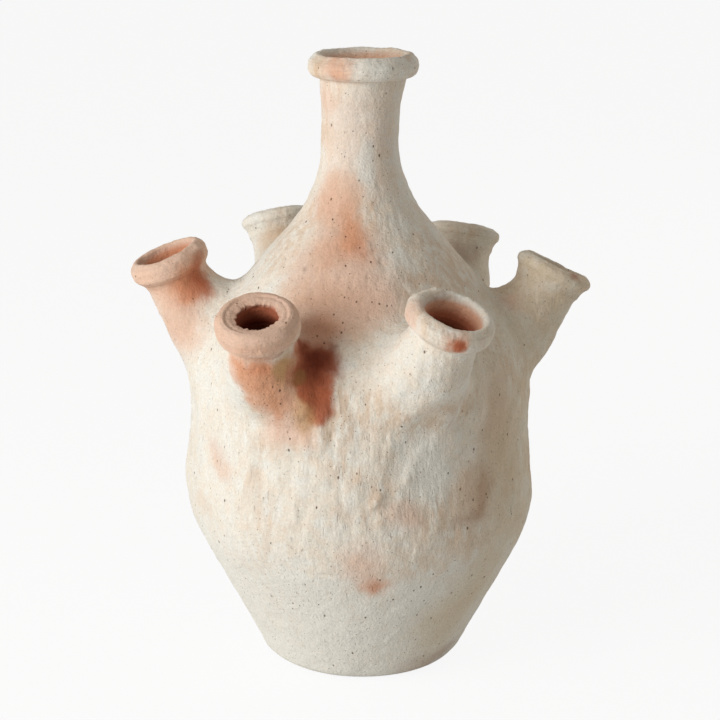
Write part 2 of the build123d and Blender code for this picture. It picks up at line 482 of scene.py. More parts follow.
def clay_field(points):
    """Distance outside the smeared clay, outward direction, depth and closeness to a stem."""
    outside, away = pot_field(points)
    nearest, on_stem = outside.copy(), np.zeros(len(points))
    seat = np.full(len(points), 1.0)
    for stem in STEMS:
        near = np.flatnonzero(near_stem(points, stem, SMEAR))
        if not len(near):
            continue
        from_stem, stem_away, along = stem_field(points[near], stem)
        own = outside[near]
        overlap = np.maximum(SMEAR - np.abs(own - from_stem), 0) / SMEAR
        share = np.where(from_stem < own, 1 - overlap / 2, overlap / 2)
        nearest[near] = np.minimum(nearest[near], from_stem)
        outside[near] = np.minimum(own, from_stem) - overlap**2 * SMEAR / 4
        away[near] = away[near] * (1 - share)[:, None] + stem_away * share[:, None]
        on_stem[near] = np.maximum(on_stem[near], share)
        seat[near] = np.where(share > 0.5, np.minimum(seat[near], along), seat[near])
    return outside, away, nearest, on_stem, seat


def front(x, z):
    """Point on the smeared clay that is seen from the front at x and z, in millimetres."""
    depths = np.arange(-230.0, 0.0, 1.0) * MM
    line = np.column_stack([np.full(len(depths), x * MM), depths, np.full(len(depths), z * MM)])
    outside = clay_field(line)[0]
    first = max(int(np.argmax(outside <= 0)), 1)
    before, after = outside[first - 1], outside[first]
    return line[first - 1] + (line[first] - line[first - 1]) * before / (before - after)


# %% [markdown]
# ## Marks of the hand
#
# The clay has soft folds under the spouts, where it was dragged down, scrapes
# from a rib, pits where grit fell out and crumbs that stuck. Each mark is a
# line or a spot on the skin, given as it is seen from the front, with a width
# and a height. A mark that is lower than the skin has a negative height.
# Sculpting by hand would do as well, but written marks can be changed later.

# %% List the folds, scrapes, pits and crumbs
# Each row: places (x, z) along the mark, half its width, and its height
FOLDS = [
    ([(84, 290), (68, 278), (46, 260), (31, 246), (19, 231), (9, 211), (-4, 188)], 12.0, 1.5),
    ([(62, 258), (48, 243), (38, 228), (30, 212)], 12.0, -1.5),
    ([(90, 286), (93, 267), (95, 252), (92, 236)], 8.0, 1.5),
    ([(78, 272), (80, 256), (78, 240)], 9.0, -1.9),
    ([(104, 262), (103, 244), (99, 226)], 9.0, -1.4),
    ([(131, 247), (124, 230), (117, 211)], 9.0, 1.4),
    ([(54, 240), (52, 224), (50, 210)], 8.0, -0.9),
    ([(24, 226), (18, 208), (14, 190)], 5.0, 0.5),
    ([(-87, 226), (-87, 206), (-86, 186)], 10.0, 0.8),
    ([(-71, 236), (-76, 216), (-78, 196)], 7.0, -0.7),
    ([(-50, 240), (-50, 226), (-55, 196)], 6.0, -0.8),
    ([(-50, 187), (-50, 176), (-49, 166)], 4.0, 1.0),
    ([(-28, 250), (-31, 236), (-30, 226)], 7.0, 1.1),
    ([(-20, 258), (-24, 240), (-24, 226)], 5.0, -1.0),
    ([(-33, 300), (-24, 282), (-22, 262)], 10.0, 1.3),
    ([(-46, 296), (-44, 278), (-42, 258)], 8.0, 1.1),
    ([(-140, 262), (-133, 244), (-130, 226)], 9.0, 1.0),
]
SCRAPES = [
    ([(-22, 209), (-22, 190), (-23, 168)], 1.6, -0.45),
    ([(-13, 210), (-14, 190), (-13, 168)], 1.6, -0.45),
    ([(-4, 210), (-5, 190), (-4, 169)], 1.6, -0.4),
    ([(-31, 206), (-31, 182)], 1.5, -0.4),
    ([(-23, 146), (-24, 134)], 1.5, -0.8),
    ([(-12, 156), (-12, 146)], 1.3, -0.7),
    ([(-47, 178), (-44, 168), (-44, 157)], 1.6, -0.7),
    ([(-40, 176), (-44, 160)], 1.4, -0.5),
    ([(74, 161), (64, 157), (54, 151)], 1.5, 0.7),
    ([(47, 155), (42, 144), (38, 133)], 1.8, -0.6),
    ([(-32, 118), (-22, 118.5), (-12, 119.5)], 1.5, -0.6),
    ([(31, 59), (25, 52), (20, 45)], 1.8, 0.6),
    ([(19, 236), (21, 228)], 1.4, -1.2),
    ([(-22, 236), (-20, 228)], 1.6, -1.3),
    ([(-112, 251), (-106, 252)], 1.2, -0.5),
]
CRUMBS = [
    (13, 181, 3.8, 2.8), (17, 186, 2.8, 2.0), (10, 177, 2.6, 1.6), (36, 197, 3.4, 1.7),
    (19, 179, 2.0, 1.4), (-46, 346, 2.6, 1.2), (121, 303, 4.0, 1.4), (116, 306, 3.0, 1.2),
    (13, 210, 2.0, 0.9), (29, 222, 2.0, 0.9), (-46, 346, 2.6, 1.2), (-50, 343, 2.2, 1.0),
    (52, 361, 2.4, 1.3), (46, 366, 2.0, 1.1), (49, 355, 1.8, 0.9), (85, 318, 2.6, 1.4),
    (42, 316, 1.9, 1.0), (46, 312, 1.8, 0.9), (-77, 350, 2.2, 1.1), (-71, 355, 2.0, 1.0),
    (-137, 206, 2.0, 1.4), (135, 160, 2.0, 1.2), (134, 196, 1.8, 1.0),
]
PITS = [
    (-52, 186, 1.8, -1.6), (1, 166, 1.7, -1.2), (1, 57, 1.5, -1.0), (-92, 135, 1.4, -0.7),
    (-78, 223, 1.4, -0.8), (15, 356, 2.2, -1.0), (7, 318, 2.2, -1.6), (36, 95, 1.4, -1.0),
    (5, 340, 1.4, -1.0), (5, 345, 1.4, -1.0), (99, 275, 1.8, -1.2), (80, 262, 1.6, -1.2),
    (-20, 300, 2.0, -0.9), (-51, 228, 1.6, -0.8), (95, 182, 2.2, -1.0), (88, 176, 2.0, -1.0),
]
print(len(FOLDS), "folds,", len(SCRAPES), "scrapes,", len(CRUMBS), "crumbs,", len(PITS), "pits")

# %% [markdown]
# ## Dents, grit and marks as one height
#
# The height of the skin above the smooth clay is a sum: broad dents as wide as
# a hand, lumps as wide as a finger, coarse grain, and the marks of the list.
# Noise from the mathutils library is the same on every run. The height fades
# out towards a collar's seat and at the foot, where the clay has to meet
# another part or the floor.

# %% Add up the height of the skin
def line_height(points, places, half_width, height):
    """Height of a rounded ridge or groove along a line of places."""
    total = np.zeros(len(points))
    low = places.min(axis=0) - 3 * half_width
    high = places.max(axis=0) + 3 * half_width
    near = np.flatnonzero(np.all((points > low) & (points < high), axis=1))
    if not len(near):
        return total
    closest = np.full(len(near), 1.0)
    for start, end in zip(places, places[1:]):
        way = end - start
        share = np.clip((points[near] - start) @ way / (way @ way), 0, 1)
        gap = np.linalg.norm(points[near] - start - share[:, None] * way, axis=1)
        closest = np.minimum(closest, gap)
    total[near] = height * np.exp(-((closest / half_width) ** 2) * 1.4)
    return total


def noise_at(points, size, octaves=1):
    """Smooth noise about 0 with features of a given size, as one number a point."""
    step = 1 / size
    if octaves == 1:
        return np.array([noise.noise(p) for p in (points * step).tolist()])
    return np.array([noise.fractal(p, 0.9, 2.1, octaves) for p in (points * step).tolist()])


MARKS = []
for places, half_width, height in FOLDS + SCRAPES:
    path = np.array([front(x, z) for x, z in places])
    MARKS.append((path, half_width * MM, height * MM))
for x, z, half_width, height in CRUMBS + PITS:
    spot = front(x, z)
    MARKS.append((np.array([spot, spot + 0.5 * MM]), half_width * MM, height * MM))


BELLY_STARTS = (118 * MM, 150 * MM)  # heights over which the smooth bowl turns rough
BELLY_ENDS = (330 * MM, 290 * MM)    # and over which the belly's lumps die away
NECK_STARTS = (385 * MM, 415 * MM)   # heights over which the clay turns smooth again
DENT, DENT_SIZE = 1.1 * MM, 48 * MM
LUMP, BELLY_LUMP, LUMP_SIZE = 0.6, 0.45, 17 * MM
DRAG, DRAG_SIZE = 0.42 * MM, 6 * MM
GRAIN, GRAIN_SIZE = 0.2 * MM, 5.5 * MM


def skin_height(points):
    """Height of the hand-made skin above the smooth clay."""
    on_wall = smooth_step(*BELLY_STARTS, points[:, 2])
    on_belly = on_wall * smooth_step(*BELLY_ENDS, points[:, 2])
    height = DENT * noise_at(points, DENT_SIZE)
    height += (LUMP + BELLY_LUMP * on_belly) * MM * noise_at(points + 0.31, LUMP_SIZE, 3)
    dragged = points * np.array([1.0, 1.0, 0.3]) + 0.17
    rough = on_wall * 0.8 + 0.2
    rough *= 1 - 0.65 * smooth_step(*NECK_STARTS, points[:, 2])
    height += DRAG * noise_at(dragged, DRAG_SIZE, 2) * rough
    height += GRAIN * noise_at(points + 0.53, GRAIN_SIZE, 2) * rough
    for path, half_width, mark in MARKS:
        height += line_height(points, path, half_width, mark)
    return height


# %% [markdown]
# ## Moving the skin
#
# The move of a point has three parts: onto the smeared clay, out or in by the
# height of the skin, and sideways with the lean of the hand-thrown pot. It
# fades out with the depth under the skin, so that the inside and the joints
# deep in the clay stay where they were measured.

# %% Move the skin of a piece
SKIN = 1.0 * MM        # what lies nearer than this to the surface moves fully
DEEP = 6.5 * MM        # what lies deeper than this doesn't move
SEAT_FADE = 6 * MM     # the skin is plain this near to a collar
HEEL_FADE = 9 * MM     # and this near to the floor
LEAN_HEIGHTS = np.array([0, 60, 100, 130, 165, 200, 240, 340, 400, 440, 470, 490, 510]) * MM
LEAN_SHIFTS = np.array([2.0, 1.7, 1.9, 0.8, -1.4, -0.5, 0.5, 1.0, 1.0, 0.2, 1.0, 2.5, 3.2]) * MM


def lean_of(points, on_stem=0.0):
    """How far the pot leans to the viewer's right at the points' heights."""
    shift = np.interp(points[:, 2], LEAN_HEIGHTS, LEAN_SHIFTS) * (1 - on_stem)
    return np.column_stack([shift, np.zeros(len(points)), np.zeros(len(points))])


def moved_skin(points):
    """Where the points of the pot and its stems go."""
    outside, away, nearest, on_stem, seat = clay_field(points)
    weight = 1 - smooth_step(SKIN, DEEP, -nearest)
    weight *= smooth_step(0.2 * MM, HEEL_FADE, points[:, 2])
    skin = np.flatnonzero(weight > 0)
    result = points + lean_of(points, on_stem)
    if not len(skin):
        return result
    target = points[skin].copy()
    for _ in range(3):
        outside, away, _, on_stem, seat = clay_field(target)
        steep = np.sum(away * away, axis=1)
        step = np.clip(-outside / np.maximum(steep, 0.2), -14 * MM, 14 * MM)
        target += away * step[:, None]
    outside, away, _, on_stem, seat = clay_field(target)
    away /= np.linalg.norm(away, axis=1)[:, None]
    top = neck_top - target[:, 2]
    fade = smooth_step(0, SEAT_FADE, seat) * smooth_step(0, SEAT_FADE, top)
    target += away * (skin_height(target) * fade)[:, None]
    change = (target - points[skin]) * weight[skin][:, None]
    result[skin] = points[skin] + change + lean_of(target, on_stem)
    return result


def read_points(mesh):
    """All vertex places of a mesh as an array."""
    flat = np.empty(len(mesh.vertices) * 3)
    mesh.vertices.foreach_get("co", flat)
    return flat.reshape(-1, 3)


def write_points(mesh, points):
    """Gives a mesh its vertex places."""
    mesh.vertices.foreach_set("co", points.ravel())
    mesh.update()


for piece in (bowl, wall, neck, *stem_blanks.values()):
    before = read_points(piece.data)
    after = moved_skin(before)
    write_points(piece.data, after)
    farthest = np.linalg.norm(after - before, axis=1).max()
    print(piece.name, "moved by up to", round(farthest / MM, 1), "mm")

# %% [markdown]
# ## Rolled collars
#
# Each mouth is closed by a thick roll of clay, which was bent round the tube
# and run over with a wet finger. Five of the small ones are funnels; the one at
# the front left has a broad lip with two finger ridges round a torn hole. Each
# is spun from its own section in a frame whose Z is the way that the mouth
# faces, pushed out of true by a few slow waves, and then put in its place.

# %% Spin the collars
COLLAR_SIDES = 200
COLLAR_SPACING = 0.9 * MM
# Sections in mm, with the crest at height 0: corners (radius, height) with their
# rounds, depth of the dish in the mouth, full height and height of the grain
FUNNEL = {
    "corners": [(28.8, -13.5), (32.6, -9.5), (32.8, -5.0), (25.2, 0.4)],
    "rounds": [8, 3.2, 4, 2.8], "dish": 18.0, "height": 20.0, "grain": 0.3,
}
THICK_FUNNEL = {
    "corners": [(32.4, -15.0), (32.9, -6.5), (25.2, 0.4)],
    "rounds": [6, 6, 2.8], "dish": 18.0, "height": 20.0, "grain": 0.3,
}
BROAD_LIP = {
    "corners": [(32.2, -18.0), (32.6, -6.0), (27.2, 0.2)],
    "rounds": [4.0, 6, 2.6], "dish": 3.0, "height": 20.0, "grain": 0.12,
}
NECK_ROLL = {
    "corners": [(42.4, -17.6), (46.6, -8.5), (37.4, 0.5)],
    "rounds": [7.0, 8.0, 3.0], "dish": 13.0, "height": 19.0, "grain": 0.3,
}
NECK_SEAT = 35.0  # radius in mm of the neck where its collar sits
STYLES = {"left": THICK_FUNNEL, "front_left": BROAD_LIP, "front_right": THICK_FUNNEL}
# Grooves and ridges of a finger on the broad lip: radius, half width, height
FINGER_RINGS = [(20.5, 1.6, 0.4), (23.2, 0.9, -0.4), (25.0, 0.9, 0.4), (26.9, 0.9, -0.4)]
# Extra clay on a collar: bearing in its own frame, half its width, radial and upward growth
LUMPS = {
    "front_right": [(134, 60, 4.2, 0.0), (75, 12, 0.3, 1.6)],
    "left": [(-20, 35, 0.8, -0.6), (60, 8, 1.2, 0.8)],
    "right": [(-60, 30, -1.0, -0.8)],
    "front_left": [(160, 50, 0.8, 0.0)],
}


def collar_section(style, seat, hole):
    """Closed outline of a collar as (radius, height) points, with its crest at 0."""
    hole /= MM
    foot, crown = -style["height"], -style["dish"]
    corners = [(hole, foot), (seat, foot), *style["corners"], (hole, crown)]
    line = rounded(corners, [0.01, *style["rounds"]])
    line[:, 1] -= line[:, 1].max() * smooth_step(foot + 4, -5, line[:, 1])
    line = np.vstack([line, [[hole, foot + 0.5]]]) * MM
    return spaced(line, COLLAR_SPACING)[:-1]


def angle_gap(angles, centre):
    """Difference between angles, between minus and plus half a turn."""
    return (angles - centre + pi) % (2 * pi) - pi


def rolled_collar(name, style, seat, hole, seed, lumps=()):
    """A collar in its own frame, and where its points go when it is pushed out of true."""
    piece = make_object(name, spun(collar_section(style, seat, hole), True, COLLAR_SIDES))
    points = read_points(piece.data)
    normals = np.empty(len(points) * 3)
    piece.data.vertices.foreach_get("normal", normals)
    normals = normals.reshape(-1, 3)
    radius = np.linalg.norm(points[:, :2], axis=1)
    level = points / np.maximum(radius, 1e-6)[:, None] * np.array([1, 1, 0])
    foot = -style["height"] * MM
    free = smooth_step(foot + 0.5 * MM, foot + 6 * MM, points[:, 2])
    outer = smooth_step(18 * MM, 30 * MM, radius)
    bearing = np.arctan2(points[:, 1], points[:, 0])
    for centre, half_width, growth, rise in lumps:
        near = np.exp(-((angle_gap(bearing, radians(centre)) / radians(half_width)) ** 2) * 1.4) * free
        points += level * (growth * MM * near * outer)[:, None]
        points[:, 2] += rise * MM * near
    slow = level * 0.8 + seed
    points += level * (0.9 * MM * noise_at(slow, 1.0) * free)[:, None]
    points[:, 2] += 0.8 * MM * noise_at(slow + 5.0, 1.0) * free
    grain = 0.6 * MM * noise_at(points + seed, 11 * MM, 2)
    grain += style["grain"] * MM * noise_at(points + seed, 3.6 * MM, 2)
    if style is BROAD_LIP:
        on_top = smooth_step(-6 * MM, -3.5 * MM, points[:, 2])
        for ring, half_width, height in FINGER_RINGS:
            grain += height * MM * np.exp(-(((radius / MM - ring) / half_width) ** 2)) * on_top
        torn = noise_at(level * 1.0 + seed, 0.22, 3)
        edge = 1 - smooth_step(hole, hole + 4 * MM, radius)
        points += level * (1.9 * MM * torn * edge * on_top)[:, None]
    points += normals * (grain * free)[:, None]
    return piece, points


neck_collar, points = rolled_collar("clay_collar_neck", NECK_ROLL, NECK_SEAT, NECK_BORE, 3.7)
points[:, 2] += urn_top
write_points(neck_collar.data, points + lean_of(points))

collars = {}
for number, stem in enumerate(STEMS):
    place = stem["place"]
    seat = (STEM_RADIUS + stem["flare"]) / MM
    collar, points = rolled_collar(
        "clay_collar_" + place, STYLES.get(place, FUNNEL), seat, stem["hole"],
        10.3 + 4.1 * number, LUMPS.get(place, ()),
    )
    write_points(collar.data, points)
    collar.data.transform(ring_matrix(stem["mouth"], stem["facing"], stem["across"]))
    collars[place] = collar
print("one collar:", len(neck_collar.data.polygons), "faces")

# %% [markdown]
# ## The sixteen pieces
#
# Every piece gets a name, a place in the urn and the solid that it stands for.
# Naming them all in one place keeps the names the same everywhere.

# %% Name the pieces and give each its place in the urn
PIECES = {"base_bowl": bowl, "body_wall": wall, "neck": neck, "neck_rim": neck_collar}
for place in PLACES:
    PIECES["spout_" + place] = stem_blanks[place]
    PIECES["spout_rim_" + place] = collars[place]
CREASE = radians(45)  # a sharper edge than this is drawn as an edge

for node_name, piece in PIECES.items():
    piece.name = "clay_" + node_name
    piece.data.name = piece.name
    piece.data.materials.clear()
    piece.data.shade_smooth()
    piece.data.set_sharp_from_angle(angle=CREASE)
    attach(piece, "root")
    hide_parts(node_name)
faces = sum(len(piece.data.polygons) for piece in PIECES.values())
print(len(PIECES), "pieces,", faces, "faces")

# %% [markdown]
# ## Colours of clay, slip and fire
#
# Fired terracotta is orange-brown where it is bare. A thin white slip turns it
# to cream, and where the slip was rubbed or the flame touched it, it blushes
# pink, ochre or red-brown. A paint is named here once, by its screen values,
# and turned into the linear light that the renderer counts in.

# %% Name the paints
def paint(red, green, blue):
    """A colour given by its screen values from 0 to 255, as linear light."""
    return (*(((value / 255 + 0.055) / 1.055) ** 2.4 for value in (red, green, blue)), 1)


PAINTS = {
    "slip": paint(230, 228, 220),
    "cream": paint(230, 219, 204),
    "rose": paint(224, 194, 175),
    # painted shade: the warmer, duller tint of the shaded right side
    "olive": paint(212, 195, 168),
    "bare": paint(214, 191, 168),
    "blush": paint(216, 171, 144),
    "peach": paint(214, 156, 122),
    "orange": paint(202, 134, 98),
    "ochre": paint(200, 158, 112),
    "umber": paint(150, 100, 62),
    "brick": paint(172, 96, 66),
    "oxblood": paint(106, 42, 22),
    "soot": paint(96, 66, 46),
    "grit": paint(128, 94, 70),
}
print(len(PAINTS), "paints")

# %% [markdown]
# ## Small helpers for node trees
#
# A material is a tree of nodes. Two helpers keep the recipes below short: one
# adds a node and fills its sockets with numbers or links, the other mixes two
# colours. Everything reads Object coordinates, which on this urn are the same
# for every piece, so a stain runs over a joint without a break.

# %% Add and link nodes
def plug(tree, socket, value):
    """Fills a socket with a number, a colour or the output of another node."""
    if isinstance(value, bpy.types.NodeSocket):
        tree.links.new(value, socket)
    else:
        socket.default_value = value


def add(tree, kind, inputs=(), **settings):
    """A new node with its settings, and its sockets filled in order."""
    made = tree.nodes.new("ShaderNode" + kind)
    for setting, value in settings.items():
        setattr(made, setting, value)
    for socket, value in dict(inputs).items():
        plug(tree, made.inputs[socket], value)
    return made


def calc(tree, operation, first, second=0.0, third=0.0):
    """The result of a Math node."""
    return add(tree, "Math", {0: first, 1: second, 2: third}, operation=operation).outputs[0]


def mixed(tree, share, under, over):
    """One colour laid over another."""
    return add(tree, "Mix", {0: share, 6: under, 7: over}, data_type="RGBA").outputs[2]


def ranged(tree, value, low, high, to_low=0.0, to_high=1.0):
    """A value brought from one range to another, with a smooth rise."""
    sockets = {0: value, 1: low, 2: high, 3: to_low, 4: to_high}
    return add(tree, "MapRange", sockets, interpolation_type="SMOOTHSTEP").outputs[0]


def noise_node(tree, vector, size, detail=2.0, roughness=0.5):
    """Noise with features of a size in millimetres."""
    sockets = {"Vector": vector, "Scale": 1 / size, "Detail": detail, "Roughness": roughness}
    return add(tree, "TexNoise", sockets)


# %% [markdown]
# ## Places that wander
#
# A stain with a clean edge looks printed. So the coordinates themselves are
# pushed about by noise before a stain reads them, and the push is stretched
# upright, because everything on this pot was dragged down while it was wet.

# %% Coordinates in millimetres, wandering and stretched
WANDER = 26.0       # how far the coarse push moves a stain's edge
FEATHER = 7.0       # and the fine one


def squeezed(tree, vector, share):
    """Coordinates whose height counts for less, so that a pattern on them is drawn upright."""
    factors = {0: vector, 1: (1.0, 1.0, share)}
    return add(tree, "VectorMath", factors, operation="MULTIPLY").outputs[0]


def clay_places(tree):
    """Plain, wandering and upright-stretched coordinates of a piece, in millimetres."""
    here = add(tree, "TexCoord").outputs["Object"]
    scaled = {0: here, 3: 1 / MM}
    plain = add(tree, "VectorMath", scaled, operation="SCALE").outputs[0]
    tall = squeezed(tree, plain, 0.3)
    moved = plain
    for vector, size, push in ((plain, 30, WANDER), (tall, 6, FEATHER)):
        cloud = noise_node(tree, vector, size, 3).outputs["Color"]
        centred = {0: cloud, 1: (-0.5, -0.5, -0.5)}
        offset = add(tree, "VectorMath", centred, operation="ADD").outputs[0]
        pushed = {0: offset, 1: (push, push, push), 2: moved}
        moved = add(tree, "VectorMath", pushed, operation="MULTIPLY_ADD").outputs[0]
    return {"plain": plain, "tall": tall, "moved": moved}


# %% [markdown]
# ## The slip
#
# The slip is thin. It is whitest on the lower bowl, creamier above the joint,
# and the bare clay shows through where the brush left little of it. Towards
# the lit left it is painted whiter, as painted light, and towards the shaded
# right it is tinted darker and warmer, as painted shade. Noise of several
# sizes shares the paints out, and the height and the side say where each may
# lie.

# %% Brush the slip
def slip_colour(tree, at):
    """Colour of the washed clay before any stain, painted whiter on the lit left and tinted as painted
    shade on the right.
    """
    broad = noise_node(tree, at["plain"], 60, 3).outputs[0]
    streaks = noise_node(tree, at["tall"], 7, 3, 0.6).outputs[0]
    mottle = noise_node(tree, at["plain"], 9, 4, 0.65).outputs[0]
    height = add(tree, "SeparateXYZ", {0: at["moved"]}).outputs[2]
    side = add(tree, "SeparateXYZ", {0: at["moved"]}).outputs[0]
    bowl_share = ranged(tree, height, 138, 100, 0.0, 0.8)
    patches = noise_node(tree, at["moved"], 24, 2).outputs[0]
    white = calc(tree, "MULTIPLY_ADD", ranged(tree, mottle, 0.38, 0.62), 0.5, bowl_share)
    white = calc(tree, "MULTIPLY_ADD", ranged(tree, patches, 0.46, 0.58), 0.45, white)
    # Painted light: the slip is made whiter towards the lit left, where the window light falls
    white = calc(tree, "MULTIPLY_ADD", ranged(tree, side, -50, -110), 0.3, white)
    white = calc(tree, "MINIMUM", white, 1.0)
    colour = mixed(tree, white, PAINTS["cream"], PAINTS["slip"])
    thin = calc(tree, "MULTIPLY", ranged(tree, broad, 0.44, 0.64), ranged(tree, streaks, 0.35, 0.62))
    thin = calc(tree, "MULTIPLY", thin, ranged(tree, height, 90, 150, 0.15, 0.8))
    # Painted light: less bare clay shows towards the lit left
    thin = calc(tree, "MULTIPLY", thin, ranged(tree, side, -110, -40, 0.35, 1.0))
    colour = mixed(tree, thin, colour, PAINTS["bare"])
    # Painted shade: towards the right, away from the window, the slip is tinted darker and warmer
    away = calc(tree, "MULTIPLY", ranged(tree, side, 60, 150), ranged(tree, mottle, 0.3, 0.6, 0.4, 0.8))
    away = calc(tree, "MULTIPLY", away, ranged(tree, patches, 0.4, 0.6, 1.0, 0.6))
    return mixed(tree, away, colour, PAINTS["olive"])


# %% [markdown]
# ## Stains
#
# Each stain is a soft egg of colour: a Mapping node moves its centre to zero,
# turns it and divides by its reach, and the length of what is left says how
# far inside the egg a point lies. The list below is read like a map of the
# urn, as it is seen from the front. Painting an image would be quicker, but
# it would need unwrapping and would show seams at the joints.

# %% List the stains
# On the pot, as seen from the front, in mm: x, z, half width, half height,
# lean in degrees, paint, strength, and how soft the edge is from 0 to 1
POT_STAINS = [
    (-10, 440, 52, 62, 0, "rose", 0.4, 0.9),
    (-20, 394, 26, 32, 25, "blush", 0.75, 0.9),
    (-12, 366, 34, 36, -10, "blush", 0.85, 0.8),
    (-8, 374, 15, 30, 0, "peach", 0.85, 0.9),
    (-2, 356, 13, 20, -10, "orange", 0.7, 0.9),
    (-36, 350, 44, 36, 40, "blush", 0.55, 0.8),
    (4, 338, 46, 34, 0, "rose", 0.85, 0.8),
    (-16, 322, 44, 34, 0, "blush", 0.6, 0.8),
    (-42, 322, 34, 30, 0, "blush", 0.6, 0.9),
    (-26, 476, 14, 14, 0, "rose", 0.6, 0.9),
    (5, 424, 10, 26, 0, "slip", 0.75, 0.7),
    (-54, 260, 30, 36, -8, "blush", 0.85, 0.5),
    (-54, 234, 26, 18, 0, "rose", 0.8, 0.7),
    (-31, 260, 16, 20, -10, "brick", 0.95, 0.4),
    (-44, 250, 14, 22, -8, "ochre", 0.6, 0.7),
    (-68, 256, 4, 32, -10, "orange", 0.5, 0.9),
    (-97, 264, 13, 40, 8, "slip", 0.95, 0.6),
    (11, 109, 17, 11, 0, "peach", 0.7, 0.9),
    (13, 107, 7, 6, 0, "orange", 0.6, 0.9),
    (2, 126, 24, 26, -30, "rose", 0.75, 0.9),
    (39, 168, 20, 14, 25, "rose", 0.7, 0.9),
    (-114, 196, 10, 20, -20, "peach", 0.35, 0.9),
    (108, 232, 26, 46, 0, "bare", 0.9, 0.9),
    (92, 176, 24, 32, 30, "bare", 0.9, 0.8),
    (98, 178, 10, 26, 15, "umber", 0.35, 0.9),
    (86, 160, 18, 8, -20, "umber", 0.3, 0.9),
    (52, 206, 24, 34, -30, "slip", 0.85, 0.8),
    (62, 12, 44, 12, 0, "umber", 0.4, 0.9),
    # The next two rows, on the lower right and the right flank, are painted shade: they tint the side
    # away from the window.
    (80, 70, 56, 80, 0, "olive", 0.7, 0.9),
    (116, 190, 30, 70, 0, "olive", 0.6, 0.9),
]
# On a spout, in mm in the frame of its mouth: side, towards the neck, depth,
# half size along the same three, paint, strength and softness
SPOUT_STAINS = [
    ("left", (0, 0, 12), (60, 60, 30), "blush", 0.75, 0.6),
    ("left", (20, -8, 52), (32, 30, 40), "blush", 0.75, 0.8),
    ("left", (24, 12, 30), (18, 22, 24), "orange", 0.9, 0.8),
    ("left", (22, 20, 30), (14, 12, 20), "brick", 0.85, 0.9),
    ("left", (18, 26, 12), (12, 10, 9), "brick", 0.5, 0.9),
    ("front_left", (0, 0, 4), (60, 60, 20), "blush", 0.75, 0.5),
    ("front_left", (6, -30, 14), (34, 16, 10), "peach", 0.35, 0.9),
    ("front_left", (0, 0, 20.6), (40, 40, 2.6), "brick", 0.5, 0.8),
    ("front_left", (-2, -24, 40), (26, 20, 24), "peach", 0.95, 0.6),
    ("front_left", (4, -24, 34), (20, 12, 12), "orange", 0.7, 0.8),
    ("front_left", (20, -16, 42), (9, 16, 20), "ochre", 0.95, 0.6),
    ("front_left", (30, 2, 48), (16, 20, 26), "peach", 0.9, 0.7),
    ("front_left", (36, 6, 53), (23, 26, 26), "brick", 0.95, 0.5),
    ("front_left", (42, -2, 66), (16, 22, 20), "brick", 0.9, 0.5),
    ("front_left", (37, 8, 51), (18, 20, 18), "oxblood", 0.95, 0.8),
    ("front_left", (31, -6, 55), (8, 11, 10), "umber", 0.95, 0.6),
    ("front_left", (36, 34, 36), (24, 16, 22), "orange", 0.6, 0.9),
    ("front_left", (8, -22, 62), (20, 18, 22), "peach", 0.7, 0.8),
    ("front_right", (-20, -20, 12), (13, 13, 10), "peach", 0.9, 0.8),
    ("front_right", (-20, -21, 13), (9, 9, 7), "brick", 1.0, 0.7),
    ("front_right", (-30, 14, 8), (14, 16, 12), "peach", 0.55, 0.9),
    ("right", (-27, -6, 5), (9, 8, 5), "brick", 0.6, 0.9),
    ("right", (-22, 35, 40), (12, 14, 14), "rose", 0.7, 0.9),
    ("rear_right", (-12, 25, 24), (16, 16, 14), "umber", 0.5, 0.9),
    ("rear_left", (10, 20, 24), (34, 20, 14), "ochre", 0.6, 0.9),
    ("rear_left", (0, -26, 34), (26, 16, 24), "blush", 0.5, 0.9),
    ("rear_right", (0, -26, 44), (22, 16, 30), "rose", 0.7, 0.9),
]
EGG_DEPTH = 30  # half size of a pot stain into the clay


def pot_egg(row):
    """Centre, turn and half size of a stain on the pot, in millimetres."""
    x, z, half_width, half_height, lean = row[:5]
    return tuple(front(x, z) / MM), (0, radians(lean), 0), (half_width, EGG_DEPTH, half_height)


def mouth_frame(place):
    """The frame of a spout's mouth, whose Z is the way that it faces."""
    centre, facing, _ = MOUTHS[place]
    return ring_matrix(centre, facing, UP.cross(Vector((facing.x, facing.y, 0))))


def spout_egg(row):
    """Centre, turn and half size of a stain on a spout, in millimetres."""
    place, (side, lift, depth), half = row[:3]
    mouth = mouth_frame(place)
    spot = mouth @ (Vector((side, lift, -depth)) * MM)
    return tuple(spot / MM), tuple(mouth.to_euler()), half


EGGS = [(*pot_egg(row), *row[5:]) for row in POT_STAINS]
EGGS += [(*spout_egg(row), *row[3:]) for row in SPOUT_STAINS]
EGGS += [  # on the neck's collar: centre, turn, half size, paint, strength and softness
    ((-36, -22, 500), (0, 0, 0), (18, 18, 14), "ochre", 0.4, 0.9),
    ((-18, -38, 503), (0, 0, 0), (17, 16, 11), "peach", 0.75, 0.9),
    ((12, -42, 500), (0, 0, 0), (22, 16, 12), "slip", 0.8, 0.8),
]
print(len(EGGS), "stains")


# %% Build the stain once, as a node group
STAIN_SOCKETS = {
    "Vector": ("Place", "Centre", "Turn", "Half"),
    "Float": ("Edge", "Core", "Strength"),
    "Color": ("Under", "Paint"),
}


